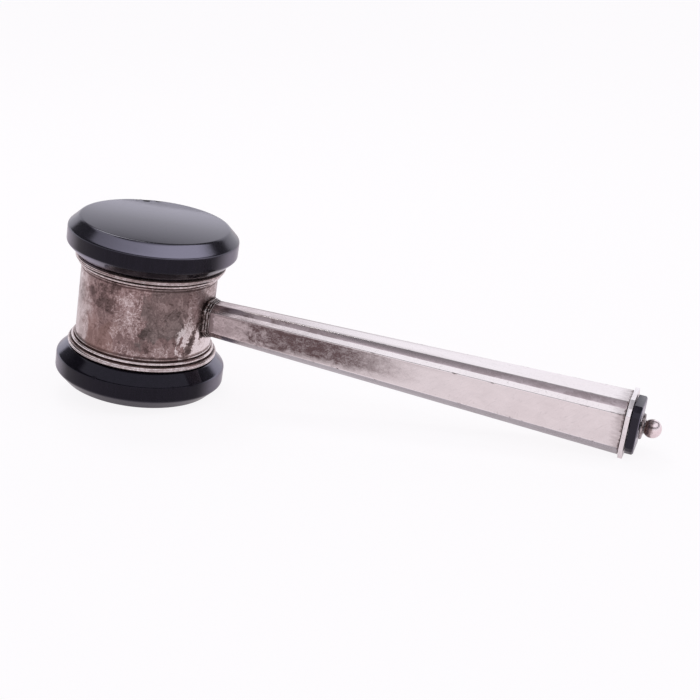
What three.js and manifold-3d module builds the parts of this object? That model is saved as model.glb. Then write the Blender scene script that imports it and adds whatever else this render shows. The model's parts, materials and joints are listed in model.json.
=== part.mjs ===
import * as THREE from "three";
import { mergeVertices } from "three/addons/utils/BufferGeometryUtils.js";
import Module from "manifold-3d";

const wasm = await Module();
wasm.setup();

// An auction gavel at rest on its lower cap's rim and its butt. All lengths are in millimetres.
// The parts are drawn square, with the head's axis along z and the handle along x,
// and the whole is then tipped until both places touch the ground.

// Striking caps
const headHeight = 65;
const capRadius = 32.5;
const capThickness = 14;
const capBevel = 4.1;
const spigotLength = 6;

// Drum between the caps, with a narrow reed turned near each end
const drumRadius = 26;
const drumWall = 1.2;
const reedReach = 0.45;
const reedWidth = 0.8;

// Half-round rings on each end of the drum
const flangeReach = 2.7;
const flangeWidth = 1.9;
const beadReach = 1.5;
const beadWidth = 1.15;
const ringSpacing = 0.4;

// Handle, measured from the head's axis to the end of its tube
const handleLength = 187.7;
const handleWall = 0.9;
const rootHeight = 12.9;
const rootWidth = 10.6;
const rootCut = 2.55;
const buttHeight = 20.5;
const buttWidth = 21;
const buttCut = 4.05;

// Where a corner cut bends, as shares of the cut from the side face and from the top face
const bendFromSideShare = 0.357;
const bendFromTopShare = 0.523;
// How much of an outline's offset its corner cuts gain
const cutGainShare = 0.65;

// Stepped collar at the root of the handle
const collarReach = 0.9;
const collarHeight = 2.6;
const collarStepCount = 3;

// Butt fittings
const plateThickness = 1.6;
const plateReach = 1.1;
const blockThickness = 3.1;
const blockInset = 2.1;
const blockChamfer = 0.5;
const washerRadius = 4.7;
const washerThickness = 1;
const washerChamfer = 0.35;
const ballRadius = 3.4;
const neckFootRadius = 2.9;
const neckRadius = 2.5;
const neckLength = 0.4;

// Tie rod and its anchor nut in the head
const rodRadius = 1.5;
const nutAcrossFlats = 8;
const nutThickness = 4;
const nutPocketRadius = 5.5;
const nutPocketDepth = 8;

// Clearances, and how far a cut runs past what it cuts
const seatGap = 0.3;
const fitGap = 0.15;
const boreGap = 0.3;
const overrun = 2;

// Facets of round forms
const headSegments = 64;
const barSegments = 24;
const halfRoundSteps = 7;
const ballSteps = 12;

// Sizes that follow from those above
const capFaceRadius = capRadius - capBevel;
const shoulderHeight = headHeight / 2 - capThickness;
const drumHalfHeight = shoulderHeight - seatGap;
const flangeBottom = drumHalfHeight - flangeWidth;
const beadBottom = flangeBottom - ringSpacing - beadWidth;
const reedTop = beadBottom - ringSpacing;
const reedBottom = reedTop - reedWidth;
const drumBore = drumRadius - drumWall;
const coreRadius = drumBore - fitGap;
const coreHalfHeight = shoulderHeight - spigotLength - seatGap;
const plateStart = handleLength + seatGap;
const blockStart = plateStart + plateThickness + seatGap;
const washerStart = blockStart + blockThickness + seatGap;
const ballNutStart = washerStart + washerThickness + seatGap;
const ballCenter = ballNutStart + neckLength + Math.sqrt(ballRadius ** 2 - neckRadius ** 2);
const pocketFloor = nutPocketDepth - coreRadius;
const nutEnd = pocketFloor - seatGap;
const nutStart = nutEnd - nutThickness;
const rodBore = rodRadius + boreGap;

// Closed solid from a geometry, without the slivers that fold onto a shared point
function solidOf(geometry) {
  const bare = geometry.clone();
  bare.deleteAttribute("normal");
  bare.deleteAttribute("uv");
  const merged = mergeVertices(bare);
  const index = merged.index.array;
  const triangles = [];
  for (let i = 0; i < index.length; i += 3) {
    const [a, b, c] = index.slice(i, i + 3);
    if (a !== b && b !== c && c !== a) {
      triangles.push(a, b, c);
    }
  }
  const vertProperties = new Float32Array(merged.attributes.position.array);
  const triVerts = new Uint32Array(triangles);
  return new wasm.Manifold(new wasm.Mesh({ numProp: 3, vertProperties, triVerts }));
}

function geometryOf(solid) {
  const mesh = solid.getMesh();
  const geometry = new THREE.BufferGeometry();
  geometry.setAttribute("position", new THREE.BufferAttribute(mesh.vertProperties, 3));
  geometry.setIndex(new THREE.BufferAttribute(mesh.triVerts, 1));
  geometry.computeVertexNormals();
  return geometry;
}

// Profile of [radius, height] points turned about z, with a flat side facing along x
function turnedAboutZ(profile) {
  const points = profile.map(([radius, height]) => new THREE.Vector2(radius, height));
  const geometry = new THREE.LatheGeometry(points, headSegments);
  geometry.rotateX(Math.PI / 2);
  geometry.rotateZ(Math.PI / headSegments);
  return solidOf(geometry);
}

// Profile of [radius, distance] points turned about x
function turnedAboutX(profile) {
  const points = profile.map(([radius, distance]) => new THREE.Vector2(radius, distance));
  const geometry = new THREE.LatheGeometry(points, barSegments);
  geometry.rotateZ(-Math.PI / 2);
  return solidOf(geometry);
}

function discProfile(radius, bottom, top) {
  return [[0, bottom], [radius, bottom], [radius, top], [0, top]];
}

function barAlongX(radius, start, end) {
  return turnedAboutX(discProfile(radius, start, end));
}

// Solid through a row of outlines, each with the same number of [y, z] points, anticlockwise from the end
function loftAlongX(stations) {
  const count = stations[0].outline.length;
  const places = stations.flatMap(({ x, outline }) => outline.flatMap(([y, z]) => [x, y, z]));
  const last = (stations.length - 1) * count;
  const triangles = [];
  for (let i = 0; i < count; i += 1) {
    const next = (i + 1) % count;
    for (let ring = 0; ring < last; ring += count) {
      const ahead = ring + count;
      triangles.push(ring + i, ring + next, ahead + next);
      triangles.push(ring + i, ahead + next, ahead + i);
    }
    if (i > 0 && next > 0) {
      triangles.push(0, next, i);
      triangles.push(last, last + i, last + next);
    }
  }
  const geometry = new THREE.BufferGeometry();
  geometry.setAttribute("position", new THREE.Float32BufferAttribute(places, 3));
  geometry.setIndex(triangles);
  return solidOf(geometry);
}

// Rectangle whose corners are each broken by two flats
function cutCornerOutline({ width, height, cut }) {
  const corner = [[0, cut], [bendFromSideShare * cut, bendFromTopShare * cut], [cut, 0]];
  const quadrants = [[1, 1], [-1, 1], [-1, -1], [1, -1]];
  return quadrants.flatMap(([ySign, zSign]) => {
    const points = corner.map(([fromSide, fromTop]) => [
      ySign * (width / 2 - fromSide),
      zSign * (height / 2 - fromTop),
    ]);
    return ySign * zSign > 0 ? points : points.reverse();
  });
}

// Size of the handle's section at a distance from the head's axis, grown by an offset
function handleSection(x, offset) {
  const share = (x - drumRadius) / (handleLength - drumRadius);
  const between = (root, butt) => root + (butt - root) * share;
  return {
    width: between(rootWidth, buttWidth) + 2 * offset,
    height: between(rootHeight, buttHeight) + 2 * offset,
    cut: between(rootCut, buttCut) + cutGainShare * offset,
  };
}

function handleLoft(offset, start, end) {
  const stations = [start, end].map((x) => ({ x, outline: cutCornerOutline(handleSection(x, offset)) }));
  return loftAlongX(stations);
}

function handleBlank(offset) {
  return handleLoft(offset, drumRadius - overrun, handleLength);
}

// Drum's own surface grown by an offset, as a cutter for what is saddled on it
function drumCutter(offset) {
  return turnedAboutZ(discProfile(drumRadius + offset, -headHeight / 2, headHeight / 2));
}

function rodBoreCutter() {
  return barAlongX(rodBore, nutStart - overrun, ballNutStart);
}

function capSolid() {
  const spigotRadius = drumBore - fitGap;
  const spigotEnd = shoulderHeight - spigotLength;
  return turnedAboutZ([
    [0, spigotEnd],
    [spigotRadius, spigotEnd],
    [spigotRadius, shoulderHeight],
    [capFaceRadius, shoulderHeight],
    [capRadius, shoulderHeight + capBevel],
    [capRadius, headHeight / 2 - capBevel],
    [capFaceRadius, headHeight / 2],
    [0, headHeight / 2],
  ]);
}

// Profile that stands out from a radius, half-round as far as its width allows
function halfRound(radius, reach, width, bottom) {
  const bulge = Math.min(width / 2, reach);
  const shoulder = radius + reach - bulge;
  const profile = [[radius, bottom]];
  for (let step = 0; step <= halfRoundSteps; step += 1) {
    const angle = Math.PI * (step / halfRoundSteps - 1 / 2);
    profile.push([shoulder + bulge * Math.cos(angle), bottom + (width / 2) * (1 + Math.sin(angle))]);
  }
  profile.push([radius, bottom + width]);
  return profile;
}

function drumSolid() {
  const sleeve = turnedAboutZ([
    [drumBore, -drumHalfHeight],
    [drumRadius, -drumHalfHeight],
    ...halfRound(drumRadius, reedReach, reedWidth, -reedTop),
    ...halfRound(drumRadius, reedReach, reedWidth, reedBottom),
    [drumRadius, drumHalfHeight],
    [drumBore, drumHalfHeight],
    [drumBore, -drumHalfHeight],
  ]);
  const rodHole = barAlongX(rodBore, 0, drumRadius + overrun);
  return sleeve.subtract(rodHole);
}

// Half-round ring that is slid over the drum
function ringSolid(reach, width, bottom) {
  const outside = halfRound(drumRadius + fitGap, reach - fitGap, width, bottom);
  return turnedAboutZ([...outside, outside[0]]);
}

function flangeSolid() {
  return ringSolid(flangeReach, flangeWidth, flangeBottom);
}

function beadSolid() {
  return ringSolid(beadReach, beadWidth, beadBottom);
}

function headCoreSolid() {
  const blank = turnedAboutZ(discProfile(coreRadius, -coreHalfHeight, coreHalfHeight));
  const pocket = barAlongX(nutPocketRadius, -coreRadius - overrun, pocketFloor);
  return blank.subtract(rodBoreCutter()).subtract(pocket);
}

// Collar of steps that follow the drum and narrow towards the tube
function collarSolid() {
  let steps = null;
  for (let step = 1; step <= collarStepCount; step += 1) {
    const reach = collarReach * (collarStepCount - step + 1) / collarStepCount;
    const height = collarHeight * step / collarStepCount;
    const layer = handleBlank(reach).intersect(drumCutter(seatGap + height));
    steps = steps ? steps.add(layer) : layer;
  }
  return steps.subtract(drumCutter(seatGap)).subtract(handleBlank(fitGap));
}

function handleTubeSolid() {
  const inside = handleLoft(-handleWall, drumRadius - 2 * overrun, handleLength + overrun);
  return handleBlank(0).subtract(inside).subtract(drumCutter(seatGap));
}

function handleCoreSolid() {
  const filling = handleBlank(-handleWall - fitGap);
  return filling.subtract(drumCutter(seatGap)).subtract(rodBoreCutter());
}

function plateSolid() {
  const outline = cutCornerOutline(handleSection(handleLength, plateReach));
  const blank = loftAlongX([
    { x: plateStart, outline },
    { x: plateStart + plateThickness, outline },
  ]);
  return blank.subtract(rodBoreCutter());
}

function blockSolid() {
  const reach = plateReach - blockInset;
  const outline = cutCornerOutline(handleSection(handleLength, reach));
  const blank = loftAlongX([
    { x: blockStart, outline },
    { x: blockStart + blockThickness - blockChamfer, outline },
    {
      x: blockStart + blockThickness,
      outline: cutCornerOutline(handleSection(handleLength, reach - blockChamfer)),
    },
  ]);
  return blank.subtract(rodBoreCutter());
}

function washerSolid() {
  const end = washerStart + washerThickness;
  const blank = turnedAboutX([
    [0, washerStart],
    [washerRadius, washerStart],
    [washerRadius, end - washerChamfer],
    [washerRadius - washerChamfer, end],
    [0, end],
  ]);
  return blank.subtract(rodBoreCutter());
}

// Ball on a short neck, bored from the neck's end for the rod
function ballNutSolid() {
  const startAngle = Math.asin(neckRadius / ballRadius);
  const profile = [[0, ballNutStart], [neckFootRadius, ballNutStart]];
  for (let step = 0; step <= ballSteps; step += 1) {
    const angle = startAngle + (Math.PI - startAngle) * step / ballSteps;
    profile.push([ballRadius * Math.sin(angle), ballCenter - ballRadius * Math.cos(angle)]);
  }
  const bore = barAlongX(rodRadius + fitGap, ballNutStart - overrun, ballCenter);
  return turnedAboutX(profile).subtract(bore);
}

function tieRodSolid() {
  return barAlongX(rodRadius, nutStart, ballCenter - seatGap);
}

function anchorNutSolid() {
  const corner = nutAcrossFlats / Math.sqrt(3);
  const outline = Array.from({ length: 6 }, (_, side) => {
    const angle = side * Math.PI / 3;
    return [corner * Math.cos(angle), corner * Math.sin(angle)];
  });
  const blank = loftAlongX([{ x: nutStart, outline }, { x: nutEnd, outline }]);
  const bore = barAlongX(rodRadius + fitGap, nutStart - overrun, nutEnd + overrun);
  return blank.subtract(bore);
}

// Materials
function tarnishedSilver() {
  return new THREE.MeshStandardMaterial({ color: 0x9a8a87, roughness: 0.45, metalness: 1 });
}

function handleSilver() {
  return new THREE.MeshStandardMaterial({ color: 0xcfc5c4, roughness: 0.25, metalness: 1 });
}

function polishedSilver() {
  return new THREE.MeshStandardMaterial({ color: 0xe4e0df, roughness: 0.12, metalness: 1 });
}

function ebony() {
  return new THREE.MeshStandardMaterial({ color: 0x221f25, roughness: 0.2, metalness: 0 });
}

function coreWood() {
  return new THREE.MeshStandardMaterial({ color: 0x9a7650, roughness: 0.8, metalness: 0 });
}

function plainSteel() {
  return new THREE.MeshStandardMaterial({ color: 0x8d8f93, roughness: 0.4, metalness: 1 });
}

function piece(name, solid, material) {
  const mesh = new THREE.Mesh(geometryOf(solid), material);
  mesh.name = name;
  return mesh;
}

// Same solid above and, turned over about the handle's line, below
function pair(name, solid, material) {
  const upper = piece(`upper_${name}`, solid, material());
  const lower = piece(`lower_${name}`, solid, material());
  lower.rotation.x = Math.PI;
  return [upper, lower];
}

function headPieces() {
  return [
    ...pair("striking_cap", capSolid(), ebony),
    ...pair("flange_ring", flangeSolid(), polishedSilver),
    ...pair("bead_ring", beadSolid(), polishedSilver),
    piece("head_drum", drumSolid(), tarnishedSilver()),
    piece("head_core", headCoreSolid(), coreWood()),
    piece("anchor_nut", anchorNutSolid(), plainSteel()),
  ];
}

function handlePieces() {
  return [
    piece("root_collar", collarSolid(), tarnishedSilver()),
    piece("handle_tube", handleTubeSolid(), handleSilver()),
    piece("handle_core", handleCoreSolid(), coreWood()),
    piece("tie_rod", tieRodSolid(), plainSteel()),
    piece("end_plate", plateSolid(), polishedSilver()),
    piece("end_block", blockSolid(), ebony()),
    piece("washer", washerSolid(), polishedSilver()),
    piece("ball_nut", ballNutSolid(), polishedSilver()),
  ];
}

function groupOf(name, members) {
  const group = new THREE.Group();
  group.name = name;
  group.add(...members);
  return group;
}

// Angle at which the lower cap's rim and the end plate's lower edge touch the ground together
function restTilt() {
  const rimReach = capFaceRadius * Math.cos(Math.PI / headSegments);
  const plateHalfHeight = buttHeight / 2 + plateReach;
  const plateEnd = plateStart + plateThickness;
  return Math.atan((headHeight / 2 - plateHalfHeight) / (plateEnd - rimReach));
}

// Gavel at rest, with the origin on the ground below the middle of its bounding box
function gavelAtRest() {
  const tipped = groupOf("tipped", [groupOf("head", headPieces()), groupOf("handle", handlePieces())]);
  tipped.rotation.y = restTilt();
  const gavel = groupOf("gavel", [tipped]);
  gavel.updateMatrixWorld(true);
  const box = new THREE.Box3().setFromObject(gavel, true);
  const middle = box.getCenter(new THREE.Vector3());
  tipped.position.set(-middle.x, -middle.y, -box.min.z);
  return gavel;
}

export default gavelAtRest();
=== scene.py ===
import json
from math import asin, cos, pi, radians, sin, tan

import bmesh
import bpy
from mathutils import Matrix, Quaternion, Vector


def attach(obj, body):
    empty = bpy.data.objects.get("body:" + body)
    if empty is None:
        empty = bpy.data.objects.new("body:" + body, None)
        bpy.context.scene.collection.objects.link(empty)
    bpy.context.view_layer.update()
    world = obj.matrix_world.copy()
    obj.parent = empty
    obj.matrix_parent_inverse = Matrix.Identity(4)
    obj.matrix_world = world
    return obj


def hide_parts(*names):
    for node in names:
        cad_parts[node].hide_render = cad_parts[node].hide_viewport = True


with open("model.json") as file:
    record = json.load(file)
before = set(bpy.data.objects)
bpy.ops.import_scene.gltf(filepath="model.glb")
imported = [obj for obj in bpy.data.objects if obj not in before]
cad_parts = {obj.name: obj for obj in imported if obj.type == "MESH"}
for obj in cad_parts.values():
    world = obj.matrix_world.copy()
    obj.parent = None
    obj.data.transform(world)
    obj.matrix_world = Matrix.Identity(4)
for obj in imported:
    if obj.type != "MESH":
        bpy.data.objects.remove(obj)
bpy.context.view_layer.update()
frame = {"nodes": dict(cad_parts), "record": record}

# An auction gavel of ebony and silver, lying on a pale floor. Lengths are in metres.
# The visible pieces are made in the gavel's own axes, x along the handle and z along
# the head, with the origin in the middle of the head, and then laid where the CAD has them.

# Handle's section where it meets the drum and at its butt, with the corner cut that it has there
handle_root = {"width": 0.0106, "height": 0.0129, "cut": 0.00255}
handle_butt = {"width": 0.021, "height": 0.0205, "cut": 0.00405}
# Wall of the tube, and the gap between it and the drum's reeds
handle_wall = 0.0009
root_gap = 0.00015
# Where a corner cut swells, as shares of the cut from the side face and from the top face,
# and how much each of its two flats swells, as a share of its width
swell_from_side_share = 0.357
swell_from_top_share = 0.523
flat_swell_share = 0.014
# How much a corner cut shrinks for each bit that the outline is inset
cut_per_inset = 2 - 2 ** 0.5
# Divisions of the tube, easing of its butt end, and the marks that its mesh carries
handle_stations = 64
corner_steps = 5
end_easing = 0.00014
surface_marks = ("border", "side", "rim", "flat")

# Softened edges of the pieces
cap_edge = 0.0006
drum_edge = 0.0002
tube_edge = 0.00016
tube_border = 0.00045
border_margin = 0.000016
collar_edge = 0.00009
plate_edge = 0.00032
block_edge = 0.0003
washer_edge = 0.0002
neck_hollow = 0.00035

# Fine line turned into the crown of each flange
crown_line_width = 0.00026
crown_line_depth = 0.00028

# How finely round forms are divided
round_steps = 320
small_steps = 96
edge_steps = 4
ring_steps = 14
cap_mesh_size = 0.0005
cap_fine_radius = 0.0245
weld_distance = 1e-6
level_digits = 6

# Flat-sided pieces: angle up to which faces are one, and how the edges between them are eased
one_face_angle = radians(1)
eased_angle = radians(8)
eased_segments = 3

# Raggedness of a dent: waves along x and y, how deep they cut, and how its hollow falls off.
# The last number says how soon a hollow counts as broken all through.
dent_waves = (9000, 7000)
dent_raggedness = 0.4
dent_fall = 0.7
broken_gain = 3

# Dents in the ebony: angle from the front round the head, radius, height, reach and depth
upper_dents = (
    (radians(212), 0.0274, 0.0325, 0.0022, 0.0006),
    (radians(219), 0.0277, 0.0325, 0.0015, 0.0005),
    (radians(202), 0.0275, 0.0325, 0.0015, 0.0004),
)
lower_dents = (
    (radians(-8), 0.0322, -0.0226, 0.0011, 0.00025),
    (radians(47), 0.0324, -0.0227, 0.0009, 0.0003),
)

# Crown of the ebony faces, which only their shading shows, and the direction that it curves in
face_crown = radians(10)
face_radius = 0.0284
crown_turn = (-0.25, 0.968)

# Zones of the looks, in the gavel's own axes, with angles round the head from its front.
# A pair says where a smooth change begins and where it is whole. Three numbers say where a
# zone begins and ends, and how wide its soft edges are.

# Zones of the ebony
polish_heights = (0.0278, 0.0287)
bevel_radii = (0.0283, 0.0286)
inner_bevel_foot = (0.01, 0.015)
inner_bevel_top = (0.023, 0.0224)
upper_cap_heights = (-0.01, 0.01)
head_end = (0.05, 0.04)
block_start = (0.1, 0.11)
# Angles of the upper cap's inner bevel that get a painted highlight
glance_angles = (radians(4), radians(-26))
# Angles where the bevels' painted highlight rises and where it falls
bevel_sheen_rise_angles = (radians(-25), radians(40))
bevel_sheen_fall_angles = (radians(54), radians(74))
# The head's flanks shine to either side of their middle, which is where the camera stands
flank_middle = radians(17.09)
flank_start = (radians(48), radians(72))
flank_end = (radians(116), radians(96))
# Measured from the block's outer end
block_end = (-0.0003, -0.0001)
# How much the bevels shine, before and after each change: their polish, shaped into a painted highlight
bevel_sheen_rise_levels = (0.3, 1.1)
bevel_sheen_fall_levels = (1.0, 0.15)
upper_cap_levels = (0.12, 1.0)

# Refractive index of the ebony, which sets how much it mirrors, and what each zone adds to it
ebony_index = 1.34
polish_index = 0.16
end_index = 1.6
bevel_index = 1.6
face_index = 0.5
# How fast the faces' mirroring rises towards their back, as a painted reflection
face_index_slope = 16
flank_index = 1.3
glance_index = 2.2

# Zones of the drum's silver, and how far their edges are frayed
drum_angle_fraying = 0.85
drum_height_fraying = 0.022
# Band along the drum's left edge that is brightened as a painted highlight
left_edge_highlight_angles = (-0.42, -0.72)
scuff_angles = (-0.04, 0.32, 0.06)
scuff_heights = (-0.005, 0.011, 0.001)
foot_angles = (-0.1, 0.75, 0.1)
foot_heights = (-0.0085, -0.011)
grey_angles = (0.4, 0.96, 0.05)
grey_heights = (-0.0075, -0.005)
shade_angles = (-0.75, 0, 0.1)
shade_heights = (0.001, 0.004)
# Painted reflection: a bright streak on the side towards the handle, the heights where it spreads and
# how far, and where it brightens at its foot and dims at its top
reflection_streak_angles = (0.97, 1.03)
reflection_streak_spread_heights = (-0.0066, -0.0036, 0.0012)
reflection_streak_spread = 0.13
reflection_streak_foot_heights = (0.002, -0.006)
reflection_streak_top_heights = (0.004, 0.009)
shoulder_heights = (0.007, 0.0095)
shoulder_left = (0.5, 0.3)
shoulder_right = (0.95, 1.05)
rust_angles = (-0.5, -0.05, 0.1)
rust_heights = (0.002, -0.006)
inner_groove = (0.0131, 0.0135, 0.0004)
outer_groove = (0.0143, 0.0146)
reed_heights = (0.0137, 0.0142, 0.0001)

# Stain that runs down from the collar's lower corner, and the painted shade round the collar's foot
streak_start = -0.0083
streak_slope = 0.3
streak_wander = 0.004
streak_fraying = 0.0048
streak_width = (0.0018, 0.0003)
streak_widening = -0.0009
streak_widening_heights = (-0.003, -0.012)
streak_top = (0.0015, -0.0015)
streak_front = (0.018, 0.02)
collar_half_width = 0.0064
collar_half_height = 0.0074
collar_foot_shade_width = (0.0003, -0.0005)
collar_foot_shade_fraying = 0.0026
collar_front = (0.01, 0.015)

# Zones of the handle's silver, and how far their edges are frayed
handle_fraying = 0.036
lower_fraying = 0.006
tarnish_reach = 0.13
near_side_depths = (0, -0.001)
lower_heights = (-0.0015, -0.0045)
lower_rub_start = (0.05, 0.08)
light_tarnish_reach = (0.115, 0.015)
rim_tarnish_reach = (0.16, 0.04)
flat_tarnish_reach = (0.1, 0.05)
top_heights = (0, 0.001)
# Underside, which is darkened as painted shade
under_heights = (0, -0.003)
rosy_reach = (0.08, 0.02)
# Where the painted shade on the underside turns cool in tint
underside_shade_start = (0.03, 0.06)
# Measured from the tube's butt end and from the collar's front
plate_line = (-0.0008, -0.0002)
plate_line_fraying = 0.004
# Painted shade on the tube beside the plate
plate_shade = (-0.006, 0)
plate_shade_fraying = 0.008
# Painted shade on the tube beside the collar
collar_root_shade = (0.0019, 0.0009)
collar_root_shade_fraying = 0.006

# Zones of the rings, and of the ball's neck, measured from where it starts
bead_radii = (0.0262, 0.0274)
flange_radii = (0.0277, 0.0286)
ring_skin = 0.0001
# Upper rings, darkened as painted shade, and the angles to the left of which the upper flange's crown
# stays bright on both sides
upper_ring_heights = (0, 0.01)
left_ring_angles = (radians(-2), radians(-20))
neck_fade = (0, 0.001)
neck_stain = (0, 0.0022, 0.0012)
neck_fraying = 0.004

# Brightness of old silver where no zone changes it
drum_brightness = 0.37
ring_brightness = 0.25

# Colours
ebony_colours = ((0.0035, 0.003, 0.005), (0.009, 0.0072, 0.012))
ebony_sheen = (0.84, 0.81, 1)
rust = (0.3, 0.18, 0.145)
handle_clean = ((0.92, 0.86, 0.84), (0.97, 0.92, 0.9))
handle_rosy = (0.93, 0.8, 0.79)
handle_flat = (0.95, 0.82, 0.84)
# Cool tint of the painted shade on the handle's underside
underside_shade_tint = (0.86, 0.87, 0.89)
handle_dark = ((0.095, 0.06, 0.06), (0.19, 0.13, 0.128))
polished_clean = ((0.91, 0.855, 0.845), (0.985, 0.955, 0.945))
ball_clean = (1.0, 0.87, 0.865)
fitting_stain = (0.16, 0.1, 0.09)
washer_colours = ((0.14, 0.105, 0.1), (0.55, 0.49, 0.48))
wood_colours = ((0.2, 0.11, 0.055), (0.36, 0.21, 0.11))
steel_colours = ((0.22, 0.22, 0.23), (0.4, 0.4, 0.41))
# Old silver from deep tarnish to bright, where it is grey and where it is brown
tarnish_stops = (0.0, 0.25, 0.4, 0.55, 0.75, 1.0)
grey_tarnish = (
    (0.035, 0.031, 0.028),
    (0.14, 0.123, 0.113),
    (0.23, 0.202, 0.187),
    (0.36, 0.323, 0.302),
    (0.57, 0.522, 0.5),
    (0.9, 0.845, 0.825),
)
brown_tarnish = (
    (0.045, 0.028, 0.026),
    (0.17, 0.112, 0.105),
    (0.3, 0.204, 0.192),
    (0.43, 0.316, 0.3),
    (0.63, 0.525, 0.505),
    (0.92, 0.835, 0.82),
)

# Camera, measured from the middle of the head
camera_aim = (0.0824, 0, -0.0098)
camera_distance = 0.5894
camera_azimuth = radians(17.09)
camera_elevation = radians(18.14)
camera_roll = radians(1.38)
camera_lens = 81.3

# Floor, lamp and room
floor_size = 6
lamp_distance = 0.9
lamp_size = 0.26
lamp_azimuth = radians(-135)
lamp_elevation = radians(62)
lamp_power = 1.1
lamp_gloss = 0.3
room_level = 0.09
black = (0.0, 0.0, 0.0)
white = (1.0, 0.995, 1.0)
studio_tint = (0.94, 0.925, 1.0)
floor_tint = (1.0, 0.985, 1.0)
mirrored_floor_tint = (1.0, 0.925, 0.965)
# Floor as the camera sees it and as metal mirrors it: its own light, and what its albedo loses
floor_albedo = 0.82
seen_glow = 0.9
mirrored_glow = 0.49
seen_loss = 0.68
mirrored_loss = 0.32

# Zones of the studio, by direction
backdrop_front = (0.64, 0.76)
backdrop_top = (0.72, 0.6)
backdrop_right = (0.56, 0.3)
horizon_top = (0.34, 0.22)
soft_box_foot = (0.6, 0.68)
soft_box_back = (0.26, 0.16)
soft_box_top = (0.955, 0.885)
ceiling_left = (-0.26, 0.04)
ceiling_middle = (0.975, 0.915)
ceiling_edge = (0.88, 0.95)
# How the zones lean and turn, the ceiling's axis by its z and y, and how bright the zones are,
# before and after each change
backdrop_turn = 0.25
soft_box_lean = 0.15
soft_box_spread = 0.6
ceiling_axis = (0.989, 0.15)
backdrop_levels = (0.25, 1.0)
ceiling_levels = (0.08, 0.52)
ceiling_gains = (0.75, 1.35)


def gavel_axes():
    """Matrix from the gavel's own axes to the frame, read off the two striking faces."""
    faces = {mount["name"]: mount for mount in frame["record"]["mounts"]}
    top = Vector(faces["upper_striking_face"]["pos_m"])
    bottom = Vector(faces["lower_striking_face"]["pos_m"])
    up = (top - bottom).normalized()
    along = Vector((up.z, 0, -up.x))
    middle = (top + bottom) / 2
    turned = Matrix((along, up.cross(along), up)).transposed().to_4x4()
    return Matrix.Translation(middle) @ turned


axes = gavel_axes()


def own_points(node):
    """Vertices of a CAD node in the gavel's own axes."""
    back = axes.inverted()
    return [back @ vertex.co for vertex in frame["nodes"][node].data.vertices]


def span(node, axis):
    """Lowest and highest place of a CAD node along an axis."""
    places = [point[axis] for point in own_points(node)]
    return min(places), max(places)


def off_axis(point, axis):
    """Distance of a point from an axis."""
    return Vector([value for i, value in enumerate(point) if i != axis]).length


def bore_of(node, axis):
    """Smallest radius of a CAD node round an axis."""
    return min(off_axis(point, axis) for point in own_points(node))


def levels(node, axis):
    """Profile of a turned CAD node: (largest radius, distance) at each distance that has points."""
    found = {}
    for point in own_points(node):
        level = round(point[axis], level_digits)
        found[level] = max(found.get(level, 0), off_axis(point, axis))
    return [(found[level], level) for level in sorted(found)]


def new_object(name, data):
    made = bpy.data.objects.new(name, data)
    bpy.context.scene.collection.objects.link(made)
    return made


def place_piece(bm, name, replaced, materials):
    """Object for a finished bmesh, laid in the frame in place of its CAD node."""
    bmesh.ops.remove_doubles(bm, verts=bm.verts, dist=weld_distance)
    bmesh.ops.recalc_face_normals(bm, faces=bm.faces)
    mesh = bpy.data.meshes.new(name)
    bm.to_mesh(mesh)
    bm.free()
    mesh.transform(axes)
    mesh.shade_smooth()
    for material in materials:
        mesh.materials.append(material)
    piece = new_object(name, mesh)
    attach(piece, "root")
    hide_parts(replaced)
    return piece


def softened(profile, radius):
    """Open profile whose inner corners are rounded with short arcs."""
    result = [profile[0]]
    for before, corner, after in zip(profile, profile[1:], profile[2:]):
        corner = Vector(corner)
        inward = Vector(before) - corner
        outward = Vector(after) - corner
        reach = min(radius, inward.length / 2, outward.length / 2)
        start = corner + inward.normalized() * reach
        end = corner + outward.normalized() * reach
        for step in range(edge_steps + 1):
            share = step / edge_steps
            first = start.lerp(corner, share)
            second = corner.lerp(end, share)
            result.append(tuple(first.lerp(second, share)))
    result.append(profile[-1])
    return result


def skin(bm, rings):
    """Faces between rings of vertices, where a ring of one vertex closes an end."""
    steps = max(len(ring) for ring in rings)
    for lower, upper in zip(rings, rings[1:]):
        for step in range(steps):
            corners = [
                lower[step % len(lower)],
                lower[(step + 1) % len(lower)],
                upper[(step + 1) % len(upper)],
                upper[step % len(upper)],
            ]
            unique = list(dict.fromkeys(corners))
            if len(unique) > 2:
                bm.faces.new(unique)


def spun(profile, steps, axis):
    """Bmesh of a profile of (radius, distance) points turned once round an axis."""
    bm = bmesh.new()
    rings = []
    for radius, distance in profile:
        count = steps if radius > 0 else 1
        ring = []
        for step in range(count):
            angle = 2 * pi * step / steps
            across = (radius * cos(angle), radius * sin(angle))
            spot = (distance, *across) if axis == 0 else (*across, distance)
            ring.append(bm.verts.new(spot))
        rings.append(ring)
    skin(bm, rings)
    return bm


def dent(bm, dents):
    """Small knocks, each of them a ragged hollow round a spot, marked as broken surface."""
    broken = bm.verts.layers.float.new("broken")
    for angle, radius, height, reach, depth in dents:
        spot = Vector((radius * sin(angle), -radius * cos(angle), height))
        for vertex in bm.verts:
            gap = (vertex.co - spot).length
            if gap < reach:
                wave = sin(vertex.co.x * dent_waves[0]) * cos(vertex.co.y * dent_waves[1])
                ragged = 1 - dent_raggedness + dent_raggedness * wave
                fall = (1 - gap / reach) ** dent_fall * ragged
                inward = Vector((-vertex.co.x / 2, -vertex.co.y / 2, -vertex.co.z)).normalized()
                vertex.co += inward * depth * fall
                vertex[broken] = min(1, broken_gain * fall)


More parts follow.
